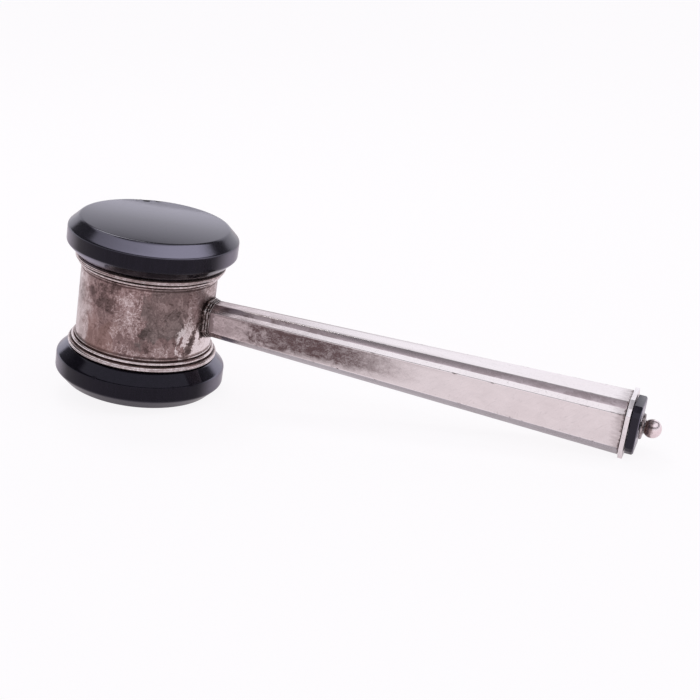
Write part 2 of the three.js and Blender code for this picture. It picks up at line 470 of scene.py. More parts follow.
def refined(profile, step_size, radius):
    """Profile with a point wherever it crosses a radius, and short stretches beyond that radius."""
    cut = [profile[0]]
    for before, after in zip(profile, profile[1:]):
        if min(before[0], after[0]) < radius < max(before[0], after[0]):
            share = (radius - before[0]) / (after[0] - before[0])
            cut.append(tuple(Vector(before).lerp(Vector(after), share)))
        cut.append(after)
    result = [cut[0]]
    for before, after in zip(cut, cut[1:]):
        before, after = Vector(before), Vector(after)
        beyond = min(before.x, after.x) >= radius - step_size / 2
        count = max(1, round((after - before).length / step_size)) if beyond else 1
        result += [tuple(before.lerp(after, (step + 1) / count)) for step in range(count)]
    return result


def cap_piece(side, dents):
    """Ebony cap: its visible profile from the shoulder to the striking face, edges eased."""
    node = f"{side}_striking_cap"
    profile = levels(node, 2)
    profile = profile[1:] if side == "upper" else profile[:-1]
    closed = softened([(0, profile[0][1]), *profile, (0, profile[-1][1])], cap_edge)
    bm = spun(refined(closed, cap_mesh_size, cap_fine_radius), round_steps, 2)
    dent(bm, dents)
    place_piece(bm, f"{side}_cap", node, [ebony])


def half_round_piece(side, kind, line_depth):
    """Half-round ring, which may have a fine line turned into its crown."""
    node = f"{side}_{kind}_ring"
    low, high = span(node, 2)
    bore = bore_of(node, 2)
    crown = max(radius for radius, _ in levels(node, 2))
    middle = (low + high) / 2
    half = (high - low) / 2
    profile = [(bore, low)]
    for step in range(ring_steps * 2 + 1):
        angle = pi * (step / (ring_steps * 2) - 1 / 2)
        height = middle + half * sin(angle)
        line = max(0, 1 - abs(height - middle) / crown_line_width)
        profile.append((crown - half + half * cos(angle) - line_depth * line, height))
    profile += [(bore, high), (bore, low)]
    place_piece(spun(profile, round_steps, 2), f"{side}_{kind}", node, [ring_silver])


def drum_piece():
    """Silver sleeve of the head with its two reeds, and eased rims."""
    low, high = span("head_drum", 2)
    bore = bore_of("head_drum", 2)
    outer = [level for level in levels("head_drum", 2) if abs(level[1]) > high / 2]
    closed = [*softened([(bore, low), *outer, (bore, high)], drum_edge), (bore, low)]
    place_piece(spun(closed, round_steps, 2), "drum", "head_drum", [drum_silver])


def eased_copy(node, name, materials, edge):
    """Copy of a flat-sided CAD node with its faces whole and its edges eased."""
    bm = bmesh.new()
    bm.from_mesh(frame["nodes"][node].data)
    bmesh.ops.transform(bm, matrix=axes.inverted(), verts=bm.verts)
    bmesh.ops.remove_doubles(bm, verts=bm.verts, dist=weld_distance)
    bmesh.ops.dissolve_limit(bm, angle_limit=one_face_angle, verts=bm.verts, edges=bm.edges)
    piece = place_piece(bm, name, node, materials)
    bevel = piece.modifiers.new("eased edges", "BEVEL")
    bevel.width = edge
    bevel.segments = eased_segments
    bevel.limit_method = "ANGLE"
    bevel.angle_limit = eased_angle
    bevel.harden_normals = True
    bevel.material = len(materials) - 1


def washer_piece():
    """Round washer with its rims eased."""
    profile = levels("washer", 0)
    bore = bore_of("washer", 0)
    outer = [(bore, profile[0][1]), *profile, (bore, profile[-1][1])]
    closed = [*softened(outer, washer_edge), (bore, profile[0][1])]
    bm = spun(closed, small_steps, 0)
    place_piece(bm, "washer_disc", "washer", [washer_silver])


def ball_piece():
    """Ball finial on a hollowed neck that spreads where it meets the washer."""
    start, end = span("ball_nut", 0)
    profile = levels("ball_nut", 0)
    radius = max(level[0] for level in profile)
    centre = end - radius
    foot = profile[0][0]
    neck = profile[1][0]
    meet = asin(neck / radius)
    neck_end = centre - radius * cos(meet)
    points = [(0, start), (foot, start)]
    for step in range(1, edge_steps * 2):
        share = step / (edge_steps * 2)
        waist = foot + (neck - foot) * share - neck_hollow * sin(pi * share)
        points.append((waist, start + (neck_end - start) * share))
    for step in range(small_steps // 2):
        angle = meet + (pi - meet) * step / (small_steps // 2)
        points.append((radius * sin(angle), centre - radius * cos(angle)))
    points.append((0, end))
    bm = spun(points, small_steps, 0)
    place_piece(bm, "ball", "ball_nut", [polished_silver])


def corner_curve(cut):
    """Points of a corner, as (from the side face, from the top face): two flats that swell a little."""
    first = Vector((0, cut))
    last = Vector((cut, 0))
    middle = Vector((swell_from_side_share * cut, swell_from_top_share * cut))
    points = [first]
    for start, end in ((first, middle), (middle, last)):
        along = end - start
        outward = Vector((along.y, -along.x)) * flat_swell_share
        for step in range(corner_steps):
            share = (step + 1) / corner_steps
            points.append(start.lerp(end, share) + outward * 4 * share * (1 - share))
    return points


def tube_outline(section, inset):
    """Closed outline of (y, z, and its surface marks) round the tube.

    The marks say if it is on a border, on a side face, on a face's rim or on a corner's upper flat.
    """
    half_width = section["width"] / 2 - inset
    half_height = section["height"] / 2 - inset
    curve = corner_curve(section["cut"] - inset * cut_per_inset)
    corner = [Vector((half_width - side, half_height - top)) for side, top in curve]
    before = corner[0] - Vector((0, tube_border))
    after = corner[-1] - Vector((tube_border, 0))
    eased = softened([tuple(spot) for spot in (before, *corner, after)], tube_edge)
    split = half_height - swell_from_top_share * section["cut"]
    quarter = [(half_width, 0, 0, 1, 0, 0)]
    for y, z in eased:
        spot = Vector((y, z))
        near = min((spot - corner[0]).length, (spot - corner[-1]).length)
        border = near < tube_edge + border_margin
        rim = border or spot in (before, after)
        flat = z > split and not rim
        quarter.append((y, z, int(border), int(z < corner[0].y), int(rim), int(flat)))
    quarter.append((0, half_height, 0, 0, 0, 0))
    upper = quarter + [(-y, z, *marks) for y, z, *marks in reversed(quarter[:-1])]
    return upper + [(y, -z, *marks) for y, z, *marks in reversed(upper[1:-1])]


def section_at(share):
    """Handle's section at a share of the way from the drum to the butt."""
    return {key: handle_root[key] + (handle_butt[key] - handle_root[key]) * share for key in handle_root}


def tube_piece():
    """Tapering tube with swelling corners, open at its butt end behind the plate."""
    reeds = [radius for radius, _ in levels("head_drum", 2)]
    drum = min(reeds)
    start = max(reeds) + root_gap
    end = span("handle_tube", 0)[1]
    stations = []
    for step in range(handle_stations + 1):
        stations.append((start + (end - tube_border - start) * step / handle_stations, 0))
    stations.append((end - end_easing, 0))
    stations += [(end, end_easing), (end, handle_wall), (start, handle_wall), (start, 0)]
    bm = bmesh.new()
    layers = [bm.verts.layers.float.new(name) for name in surface_marks]
    rings = []
    for x, inset in stations:
        ring = []
        for y, z, *marks in tube_outline(section_at((x - drum) / (end - drum)), inset):
            vertex = bm.verts.new((x, y, z))
            for layer, mark in zip(layers, marks):
                vertex[layer] = mark
            ring.append(vertex)
        rings.append(ring)
    skin(bm, rings)
    place_piece(bm, "tube", "handle_tube", [handle_silver])


def add_node(tree, kind, inputs=None, **settings):
    """Shader node with its settings, and its inputs set or linked by name or number."""
    made = tree.nodes.new(kind)
    for name, value in settings.items():
        setattr(made, name, value)
    for name, value in (inputs or {}).items():
        if isinstance(value, bpy.types.NodeSocket):
            tree.links.new(value, made.inputs[name])
        else:
            made.inputs[name].default_value = value
    return made


def new_tree(name):
    material = bpy.data.materials.new(name)
    material.use_nodes = True
    material.node_tree.nodes.clear()
    return material, material.node_tree


def tree_of(*values):
    """Node tree of the first socket among some values."""
    return next(value.id_data for value in values if isinstance(value, bpy.types.NodeSocket))


def ramp(factor, stops):
    """Colour ramp from a list of (place, value), where a value is a grey level or a colour."""
    made = add_node(tree_of(factor), "ShaderNodeValToRGB", {"Fac": factor})
    elements = made.color_ramp.elements
    while len(elements) < len(stops):
        elements.new(1)
    for element, (spot, value) in zip(elements, stops):
        element.position = spot
        colour = value if isinstance(value, tuple) else (value, value, value)
        element.color = (*colour, 1)
    return made.outputs["Color"]


def two_tone(factor, low, high, colours):
    """Colour that goes from the first of a pair at low to the second at high."""
    return ramp(factor, [(low, colours[0]), (high, colours[1])])


def unplaced(vector, spot, turn, drawn):
    """Vector seen from a spot, along turned axes that are drawn out by a factor each."""
    made = add_node(tree_of(vector), "ShaderNodeMapping", {
        "Vector": vector,
        "Location": spot,
        "Rotation": turn,
        "Scale": drawn,
    }, vector_type="TEXTURE")
    return made.outputs["Vector"]


def place(tree, drawn=(1, 1, 1), turn=(0, 0, 0)):
    """The gavel's own coordinates, for a pattern that is turned and drawn out along its axes."""
    coordinates = add_node(tree, "ShaderNodeTexCoord").outputs["Object"]
    own = unplaced(coordinates, axes.translation, axes.to_euler(), (1, 1, 1))
    return unplaced(own, (0, 0, 0), turn, drawn)


def place_parts(tree):
    parts = add_node(tree, "ShaderNodeSeparateXYZ", {"Vector": place(tree)}).outputs
    return parts["X"], parts["Y"], parts["Z"]


def noise(tree, scale, drawn=(1, 1, 1), turn=(0, 0, 0), detail=4, roughness=0.65, distortion=0):
    """Level of a noise in the gavel's own coordinates, turned and drawn out along its axes."""
    made = add_node(tree, "ShaderNodeTexNoise", {
        "Vector": place(tree, drawn, turn),
        "Scale": scale,
        "Detail": detail,
        "Roughness": roughness,
        "Distortion": distortion,
    })
    return made.outputs["Fac"]


def math(operation, *values):
    inputs = dict(enumerate(values))
    return add_node(tree_of(*values), "ShaderNodeMath", inputs, operation=operation).outputs[0]


def joined(operation, values):
    """One operation over several values, from the first to the last."""
    result = values[0]
    for value in values[1:]:
        result = math(operation, result, value)
    return result


def added(*values):
    return joined("ADD", values)


def times(*values):
    return joined("MULTIPLY", values)


def maximum(*values):
    return joined("MAXIMUM", values)


def outside(zone):
    """1 where a zone is 0, and 0 where it is 1."""
    return math("SUBTRACT", 1.0, zone)


def graded(value, low, high):
    """Level that goes from low to high as a value goes from 0 to 1."""
    return added(times(value, high - low), low)


def apart(value, middle):
    """Distance of a value from a middle, to either side."""
    return math("ABSOLUTE", math("SUBTRACT", value, middle))


def centred(value, reach):
    """A noise about zero, with its whole swing scaled by reach."""
    return times(math("SUBTRACT", value, 0.5), reach)


def frayed(value, pattern, reach):
    """A value moved to and fro by a noise, which gives its zones ragged edges."""
    return added(value, centred(pattern, reach))


def stepped(value, low, high):
    """0 before low and 1 beyond high, with a smooth change between, whichever is the larger."""
    made = add_node(tree_of(value), "ShaderNodeMapRange", {
        "Value": value,
        "From Min": low,
        "From Max": high,
    }, interpolation_type="SMOOTHSTEP")
    return made.outputs[0]


def between(value, low, high, edge):
    """1 between low and high, falling off over an edge outside of them."""
    return times(stepped(value, low - edge, low), stepped(value, high + edge, high))


def head_angle(x, y):
    """Angle round the head, from its front."""
    return math("ARCTAN2", x, times(y, -1.0))


def head_radius(x, y):
    return math("SQRT", added(times(x, x), times(y, y)))


def surface_mark(tree, name):
    """Value that the mesh carries under a name."""
    return add_node(tree, "ShaderNodeAttribute", attribute_name=name).outputs["Fac"]


def mixed(factor, first, second):
    """Colour between two others, by a factor."""
    tree = tree_of(factor, first, second)
    made = add_node(tree, "ShaderNodeMix", data_type="RGBA")
    for socket, value in (("Factor_Float", factor), ("A_Color", first), ("B_Color", second)):
        target = next(item for item in made.inputs if item.identifier == socket)
        if isinstance(value, bpy.types.NodeSocket):
            tree.links.new(value, target)
        else:
            target.default_value = (*value, 1) if isinstance(value, tuple) else value
    return next(item for item in made.outputs if item.identifier == "Result_Color")


def bump(height, strength, distance, normal=None):
    """Normal of a surface with fine relief, on top of another normal where there is one."""
    inputs = {"Height": height, "Strength": strength, "Distance": distance}
    if normal is not None:
        inputs["Normal"] = normal
    return add_node(tree_of(height), "ShaderNodeBump", inputs).outputs["Normal"]


def scratches(tree, turn, scale, width):
    """Thin straight marks: the middle level of a noise drawn out along one direction."""
    drawn = noise(tree, scale, (1, 1, 30), turn, detail=2, roughness=0.5)
    return stepped(apart(drawn, 0.5), width, 0)


def finish_surface(tree, inputs):
    shader = add_node(tree, "ShaderNodeBsdfPrincipled", inputs)
    add_node(tree, "ShaderNodeOutputMaterial", {"Surface": shader.outputs["BSDF"]})


def bevel_polish_sheen(z, angle):
    """How much the outer bevels shine: their polish, shaped into a painted highlight that is strongest
    at the right front of the upper cap and faint on the lower cap.
    """
    return times(
        graded(stepped(angle, *bevel_sheen_rise_angles), *bevel_sheen_rise_levels),
        graded(stepped(angle, *bevel_sheen_fall_angles), *bevel_sheen_fall_levels),
        graded(stepped(z, *upper_cap_heights), *upper_cap_levels),
    )


def head_flanks(angle):
    """Flanks of the head: a range of angles to either side of their middle."""
    turned = apart(angle, flank_middle)
    return times(stepped(turned, *flank_start), stepped(turned, *flank_end))


def ebony_material():
    """Near-black wood, polished at its striking end, with a slight crown to the faces and fine marks,
    and painted highlights where it mirrors more: on the outer bevels, towards the back of the faces, on
    the flanks and on the upper cap's inner bevel at the left.
    """
    material, tree = new_tree("ebony")
    x, y, z = place_parts(tree)
    angle = head_angle(x, y)
    away = added(times(x, crown_turn[0]), times(y, crown_turn[1]))
    crown = times(away, away, -tan(face_crown) / (2 * face_radius))
    broken = surface_mark(tree, "broken")
    sound = outside(broken)
    polished = times(stepped(math("ABSOLUTE", z), *polish_heights), sound)
    on_bevel = stepped(head_radius(x, y), *bevel_radii)
    on_face = times(polished, outside(on_bevel))
    on_block = stepped(x, *block_start)
    on_end = stepped(added(x, -span("end_block", 0)[1]), *block_end)
    on_head = stepped(x, *head_end)
    on_flank = times(head_flanks(angle), on_head, sound)
    inner_bevel = times(stepped(z, *inner_bevel_top), stepped(z, *inner_bevel_foot))
    # Painted highlight on the upper cap's inner bevel, at the left
    glancing = times(inner_bevel, on_head, stepped(angle, *glance_angles))
    grain = noise(tree, 900, (1, 1, 8), detail=5, roughness=0.6)
    marks = noise(tree, 1500, (12, 1, 1), detail=3, roughness=0.5)
    cloud = noise(tree, 60, roughness=0.55)
    index = added(
        ebony_index,
        times(maximum(polished, on_block), polish_index),
        times(on_end, end_index),
        times(polished, on_bevel, bevel_polish_sheen(z, angle), bevel_index),
        # Painted reflection: the faces mirror more towards their back
        times(on_face, added(times(away, face_index_slope), face_index)),
        times(on_face, maximum(away, 0.0), face_index_slope * 2),
        times(on_flank, outside(polished), flank_index),
        times(glancing, glance_index),
    )
    roughness = added(
        ramp(times(cloud, marks), [(0.15, 0.09), (0.4, 0.17)]),
        times(broken, 0.5),
        times(polished, on_bevel, 0.05),
    )
    crowned = bump(crown, on_face, 1.0)
    finish_surface(tree, {
        "Base Color": two_tone(grain, 0.3, 0.7, ebony_colours),
        "Roughness": roughness,
        "IOR": index,
        "Specular Tint": (*ebony_sheen, 1),
        "Normal": bump(added(grain, marks), 0.05, 0.00002, crowned),
    })
    return material


def tarnished(depth, warm):
    """Colour of old silver by brightness (0 is deep tarnish), from grey to brown by warmth."""
    grey = ramp(depth, list(zip(tarnish_stops, grey_tarnish)))
    brown = ramp(depth, list(zip(tarnish_stops, brown_tarnish)))
    return mixed(warm, grey, brown)


def stain_streak(tree, x, y, z, speckle):
    """Dark ragged run of tarnish from the lower corner of the collar down to the ring."""
    wander = noise(tree, 260, (5, 5, 1), detail=5)
    line = added(times(z, streak_slope), streak_start, centred(wander, streak_wander))
    widened = times(stepped(z, *streak_widening_heights), streak_widening)
    side = added(frayed(apart(y, line), speckle, streak_fraying), widened)
    return times(
        stepped(side, *streak_width),
        stepped(z, *streak_top),
        stepped(x, *streak_front),
        graded(stepped(wander, 0.38, 0.6), 0.5, 1.0),
    )


def collar_foot_shade(x, y, z, speckle):
    """Ragged dark line round the foot of the collar, painted shade where it meets the drum."""
    beside = math("SUBTRACT", math("ABSOLUTE", y), collar_half_width)
    above = math("SUBTRACT", math("ABSOLUTE", z), collar_half_height)
    gap = frayed(maximum(beside, above), speckle, collar_foot_shade_fraying)
    return times(stepped(gap, *collar_foot_shade_width), stepped(x, *collar_front))


def drum_dirt_and_shade(tree, x, y, z, speckle):
    """Dark tarnish of the drum, in its streak and in the grooves beside the reeds, and painted shade
    round the collar.
    """
    height = math("ABSOLUTE", z)
    grooves = maximum(between(height, *inner_groove), stepped(height, *outer_groove))
    streak = stain_streak(tree, x, y, z, speckle)
    return maximum(streak, collar_foot_shade(x, y, z, speckle), times(grooves, 0.6))


def drum_shoulder(tree, angle, level):
    """Rubbed flecks below the upper reed, to the left and to the right."""
    flecks = noise(tree, 700, (1, 1, 2.5), (0.5, 0.3, 0))
    outer = maximum(stepped(angle, *shoulder_left), stepped(angle, *shoulder_right))
    high = stepped(level, *shoulder_heights)
    return times(high, outer, stepped(flecks, 0.54, 0.59))


def drum_hatching(tree, worn):
    """Fine scratches in two directions, plainer where the silver is worn and in the painted reflection
    streak.
    """
    rising = scratches(tree, (0.9, 0.35, 0.2), scale=600, width=0.016)
    falling = scratches(tree, (-0.6, 0.5, 0.9), scale=520, width=0.012)
    return times(maximum(rising, falling), graded(worn, 0.12, 0.42))


def drum_silver_material():
    """Blotched old silver: rosy brown at the left, grey in the middle, with painted highlights along its
    left edge and in a streak towards the handle, and painted shade on its upper front.
    """
    material, tree = new_tree("drum silver")
    x, y, z = place_parts(tree)
    ragged = noise(tree, 150, (1, 1, 1.5), detail=8, roughness=0.72, distortion=0.6)
    cloud = noise(tree, 55, roughness=0.5, distortion=0.4)
    patches = noise(tree, 190, (1, 1, 1.4), detail=7, roughness=0.7, distortion=0.8)
    flakes = noise(tree, 310, (1.3, 1.3, 1), detail=6, roughness=0.72, distortion=0.3)
    speckle = noise(tree, 1300)
    angle = frayed(head_angle(x, y), ragged, drum_angle_fraying)
    level = frayed(z, ragged, drum_height_fraying)
    # Painted highlight: the band along the left edge of the drum is brightened
    left_edge_highlight = stepped(angle, *left_edge_highlight_angles)
    scuffed = times(between(angle, *scuff_angles), between(level, *scuff_heights))
    foot = times(between(angle, *foot_angles), stepped(level, *foot_heights))
    grey = times(between(angle, *grey_angles), stepped(level, *grey_heights))
    shade = times(between(angle, *shade_angles), stepped(level, *shade_heights))
    # Painted reflection: a bright streak on the side towards the handle, spread a little at some heights
    spread = times(between(level, *reflection_streak_spread_heights), reflection_streak_spread)
    bright = stepped(added(angle, spread), *reflection_streak_angles)
    # Worn zones, which also hold the painted reflection streak
    worn = maximum(scuffed, foot, bright)
    # Each line is a zone or a pattern, with how much brighter or darker it makes the silver
    depth = added(
        drum_brightness,
        times(left_edge_highlight, 0.3),
        times(scuffed, 0.11),
        times(foot, 0.12),
        times(drum_shoulder(tree, angle, level), 0.12),
        times(shade, -0.1),
        times(grey, -0.055),
        times(bright, 0.17),
        times(bright, stepped(level, *reflection_streak_foot_heights), 0.36),
        times(bright, stepped(level, *reflection_streak_top_heights), -0.1),
        times(stepped(patches, 0.5, 0.53), 0.11),
        times(stepped(flakes, 0.54, 0.57), -0.13),
        centred(cloud, 0.3),
        centred(ragged, 0.14),
        times(centred(speckle, 0.8), graded(worn, 0.4, 1.0)),
        drum_hatching(tree, worn),
    )
    # This darkening holds real stains and tarnish, and painted shade round the collar
    dirt = drum_dirt_and_shade(tree, x, y, z, speckle)
    reeds = between(math("ABSOLUTE", z), *reed_heights)
    depth = added(times(depth, graded(dirt, 1.0, 0.15)), times(reeds, 0.1))
    # The painted highlights on the left edge and in the reflection streak are also paler
    pale = maximum(left_edge_highlight, bright)
    warm = added(0.9, centred(cloud, 0.9), times(grey, -0.4), times(pale, -0.35))
    rusty = times(between(angle, *rust_angles), stepped(level, *rust_heights), 0.4)
    silver = tarnished(depth, stepped(warm, 0, 1))
    finish_surface(tree, {
        "Base Color": mixed(rusty, silver, rust),
        "Metallic": 1,
        "Roughness": ramp(depth, [(0.1, 0.5), (0.5, 0.36), (0.9, 0.22)]),
        "Normal": bump(added(patches, times(speckle, 0.6)), 0.12, 0.00008),
    })
    return material


def collar_silver_material():
    """Dark tarnish that has settled between the collar's steps."""
    material, tree = new_tree("collar silver")
    speckle = noise(tree, 1100)
    finish_surface(tree, {
        "Base Color": tarnished(stepped(speckle, 0.42, 1.0), 0.6),
        "Metallic": 1,
        "Roughness": ramp(speckle, [(0.3, 0.5), (0.7, 0.34)]),
        "Normal": bump(speckle, 0.2, 0.00006),
    })
    return material


def worn_edge_material():
    """Silver rubbed bright along an edge, with dirt left in it here and there."""
    material, tree = new_tree("worn edge")
    speckle = noise(tree, 900)
    finish_surface(tree, {
        "Base Color": tarnished(stepped(speckle, 0.34, 0.6), 0.5),
        "Metallic": 1,
        "Roughness": ramp(speckle, [(0.3, 0.3), (0.7, 0.18)]),
        "Normal": bump(speckle, 0.08, 0.00003),
    })
    return material


def side_tarnish(tree, x, y, z, side, blotch, grit):
    """Brown tarnish on the near side, heaviest a little way from the head, with flakes rubbed off."""
    heavy = ramp(times(frayed(x, blotch, handle_fraying), 1 / tarnish_reach), [
        (0.2, 0.58),
        (0.33, 0.62),
        (0.37, 1.0),
        (0.6, 1.0),
        (0.7, 0.78),
        (0.8, 0.32),
        (0.91, 0.0),
    ])
    lower = stepped(frayed(z, blotch, lower_fraying), *lower_heights)
    rubbed = graded(stepped(x, *lower_rub_start), 0.3, 0.65)
    flakes = noise(tree, 760, (2, 1, 1), detail=6, roughness=0.78, distortion=0.3)
    return times(
        heavy,
        outside(times(lower, rubbed)),
        added(centred(blotch, 0.9), centred(grit, 1.7), 1.0),
        times(side, stepped(y, *near_side_depths)),
        graded(stepped(flakes, 0.47, 0.57), 1.0, 0.8),
    )


def handle_dirt_and_shade(tree, x, border):
    """A dark line beside the plate, painted shade beside the plate and the collar, and dirt in nicks
    along the borders.
    """
    nicks = noise(tree, 900, (3, 1, 1), roughness=0.7)
    from_end = added(x, -span("handle_tube", 0)[1])
    from_collar = added(x, -span("root_collar", 0)[1])
    shaded_by_plate = stepped(frayed(from_end, nicks, plate_shade_fraying), *plate_shade)
    return maximum(
        stepped(frayed(from_end, nicks, plate_line_fraying), *plate_line),
        times(shaded_by_plate, 0.5),
        stepped(frayed(from_collar, nicks, collar_root_shade_fraying), *collar_root_shade),
        times(border, stepped(nicks, 0.57, 0.62)),
    )


def handle_tarnish(tree, x, y, z, cloud, grit, on_flat, below):
    """How tarnished the handle is, by its surfaces and by its distance from the head, with painted shade
    on its underside and beside the plate and the collar.
    """
    border, side, rim = [surface_mark(tree, name) for name in ("border", "side", "rim")]
    blotch = noise(tree, 230, (1.6, 1, 1), detail=7, roughness=0.68, distortion=0.5)
    ragged = frayed(x, blotch, handle_fraying)
    root = stepped(ragged, *light_tarnish_reach)
    light = times(root, added(centred(blotch, 1.6), centred(grit, 1.2), 0.42))
    on_rim = times(rim, rim, rim, stepped(z, *top_heights))
    settled = times(on_rim, stepped(ragged, *rim_tarnish_reach), added(grit, 0.5), 0.8)
    # Dull tarnish, with painted shade on the underside, where the silver mirrors the shaded floor
    dull_and_underside_shade = added(
        times(side, 0.07),
        times(below, 0.46),
        centred(cloud, 0.2),
        centred(blotch, 0.26),
        centred(grit, 0.16),
    )
    clouded = added(
        0.1,
        times(stepped(blotch, 0.44, 0.6), 0.34),
        centred(grit, 0.3),
        times(stepped(x, *flat_tarnish_reach), 0.45),
    )
    tarnish = maximum(
        side_tarnish(tree, x, y, z, side, blotch, grit),
        light,
        dull_and_underside_shade,
        settled,
        times(on_flat, clouded),
        times(stepped(grit, 0.66, 0.74), 0.3),
        times(scratches(tree, (0.3, 0.8, 0.2), scale=500, width=0.012), 0.2),
    )
    worn = times(border, graded(root, 0.9, 0.2))
    # Dirt in nicks, a dark line at the plate, and painted shade beside the plate and the collar
    dirt = times(handle_dirt_and_shade(tree, x, border), 0.8)
    return maximum(times(tarnish, outside(worn)), dirt)


def handle_silver_material():
    """Silver worn bright towards the butt, with brown tarnish left on its sides nearer the head, and
    painted shade on its underside.
    """
    material, tree = new_tree("handle silver")
    x, y, z = place_parts(tree)
    cloud = noise(tree, 70, (3, 1, 1), roughness=0.5)
    grit = noise(tree, 1900, (1.2, 1, 1), detail=5, roughness=0.78)
    marks = noise(tree, 2600, (20, 1, 1), detail=3, roughness=0.6)
    on_flat = times(surface_mark(tree, "flat"), stepped(z, *top_heights))
    # The underside, which gets painted shade
    below = times(stepped(z, *under_heights), outside(surface_mark(tree, "side")))
    tarnish = handle_tarnish(tree, x, y, z, cloud, grit, on_flat, below)
    clean = two_tone(cloud, 0.3, 0.7, handle_clean)
    clean = mixed(stepped(x, *rosy_reach), clean, handle_rosy)
    clean = mixed(on_flat, clean, handle_flat)
    # Painted shade: the underside is cooled in tint
    clean = mixed(times(below, stepped(x, *underside_shade_start)), clean, underside_shade_tint)
    dark = two_tone(grit, 0.35, 0.65, handle_dark)
    finish_surface(tree, {
        "Base Color": mixed(tarnish, clean, dark),
        "Metallic": 1,
        "Roughness": ramp(tarnish, [(0.0, 0.12), (0.4, 0.24), (0.8, 0.4)]),
        "Normal": bump(added(marks, cloud), 0.05, 0.00003),
    })
    return material


def polished_silver_material():
    """Bright fittings with light handling marks and a touch of tarnish on the inner side."""
    material, tree = new_tree("polished silver")
    x = place_parts(tree)[0]
    cloud = noise(tree, 240, roughness=0.6)
    marks = noise(tree, 2400, (1, 5, 1), detail=3, roughness=0.6)
    blotch = noise(tree, 520, detail=5)
    grit = noise(tree, 1700, roughness=0.7)
    from_neck = added(x, -span("ball_nut", 0)[0])
    on_ball = stepped(from_neck, *neck_fade)
    clean = two_tone(cloud, 0.35, 0.65, polished_clean)
    inner = between(frayed(from_neck, blotch, neck_fraying), *neck_stain)
    spots = stepped(grit, 0.6, 0.66)
    stained = maximum(times(inner, 0.85), times(spots, 0.35))
    roughness = ramp(cloud, [(0.3, 0.28), (0.7, 0.2)])
    finish_surface(tree, {
        "Base Color": mixed(stained, mixed(on_ball, clean, ball_clean), fitting_stain),
        "Metallic": 1,
        "Roughness": added(roughness, times(on_ball, 0.06)),
        "Normal": bump(marks, 0.04, 0.00002),
    })
    return material


def washer_silver_material():
    """Washer, tarnished dark with patches that are rubbed bright."""
    material, tree = new_tree("washer silver")
    speckle = noise(tree, 800, roughness=0.6)
    finish_surface(tree, {
        "Base Color": two_tone(speckle, 0.38, 0.62, washer_colours),
        "Metallic": 1,
        "Roughness": ramp(speckle, [(0.3, 0.34), (0.7, 0.18)]),
        "Normal": bump(speckle, 0.1, 0.00003),
    })
    return material


def ring_silver_material():
    """Turned rings, dark in their hollows and worn bright on their crowns, with painted shade beside the
    caps and over the upper rings.
    """
    material, tree = new_tree("ring silver")
    x, y, z = place_parts(tree)
    height = math("ABSOLUTE", z)
    radius = head_radius(x, y)
    patch = noise(tree, 130, detail=5, distortion=0.5)
    speckle = noise(tree, 900)
    flange_low, flange_high = span("upper_flange_ring", 2)
    middle = (flange_low + flange_high) / 2
    on_flange = stepped(height, flange_low - ring_skin, flange_low)
    # Painted shade: the upper rings are darker, and a flange's crown stays dark on the side next to its
    # cap, except at the left of the upper flange
    upper = stepped(z, *upper_ring_heights)
    left = times(stepped(head_angle(x, y), *left_ring_angles), upper)
    open_side = stepped(height, middle + crown_line_width * 2, middle + crown_line_width)
    flange_crown = times(on_flange, stepped(radius, *flange_radii), maximum(open_side, left))
    bead_crown = times(outside(on_flange), stepped(radius, *bead_radii))
    depth = added(
        ring_brightness,
        times(added(flange_crown, bead_crown), 0.64),
        times(upper, -0.13),
        centred(patch, 0.9),
        centred(speckle, 0.9),
    )
    finish_surface(tree, {
        "Base Color": tarnished(depth, 0.75),
        "Metallic": ramp(depth, [(0.15, 0.3), (0.5, 1.0)]),
        "Roughness": ramp(depth, [(0.1, 0.42), (0.7, 0.2)]),
        "Normal": bump(speckle, 0.1, 0.00004),
    })
    return material


def core_wood_material():
    """Plain turned hardwood of the cores."""
    material, tree = new_tree("core wood")
    rings = noise(tree, 500, (1, 16, 1), detail=5, roughness=0.6, distortion=0.3)
    pores = noise(tree, 2500, (1, 50, 1), detail=3, roughness=0.6)
    finish_surface(tree, {
        "Base Color": two_tone(rings, 0.35, 0.65, wood_colours),
        "Roughness": ramp(pores, [(0.3, 0.7), (0.7, 0.5)]),
        "Normal": bump(pores, 0.2, 0.00005),
    })
    return material


def plain_steel_material():
    """Drawn steel of the rod and its nut."""
    material, tree = new_tree("plain steel")
    drawn = noise(tree, 2200, (30, 1, 1), roughness=0.6)
    finish_surface(tree, {
        "Base Color": two_tone(drawn, 0.3, 0.7, steel_colours),
        "Metallic": 1,
        "Roughness": ramp(drawn, [(0.3, 0.42), (0.7, 0.28)]),
        "Normal": bump(drawn, 0.1, 0.00003),
    })
    return material


def dress(names, material):
    """Gives a material to CAD nodes that keep their own shapes."""
    for name in names:
        slots = frame["nodes"][name].data.materials
        slots.clear()
        slots.append(material)


def floor_material():
    """Pale floor that shows white, a little less so in metal, and keeps a soft shadow."""
    material, tree = new_tree("floor")
    path = add_node(tree, "ShaderNodeLightPath").outputs
    camera = path["Is Camera Ray"]
    mirrored = maximum(path["Is Glossy Ray"], path["Is Transmission Ray"])
    tint = mixed(mirrored, floor_tint, mirrored_floor_tint)
    own_level = added(times(camera, seen_glow), times(mirrored, mirrored_glow))
    lost = added(times(camera, seen_loss), times(mirrored, mirrored_loss))
    albedo = mixed(math("SUBTRACT", floor_albedo, lost), black, tint)
    lit = add_node(tree, "ShaderNodeBsdfDiffuse", {"Color": albedo})
    own = add_node(tree, "ShaderNodeEmission", {"Color": tint, "Strength": own_level})
    both = add_node(tree, "ShaderNodeAddShader", {0: lit.outputs[0], 1: own.outputs[0]})
    add_node(tree, "ShaderNodeOutputMaterial", {"Surface": both.outputs[0]})
    return material


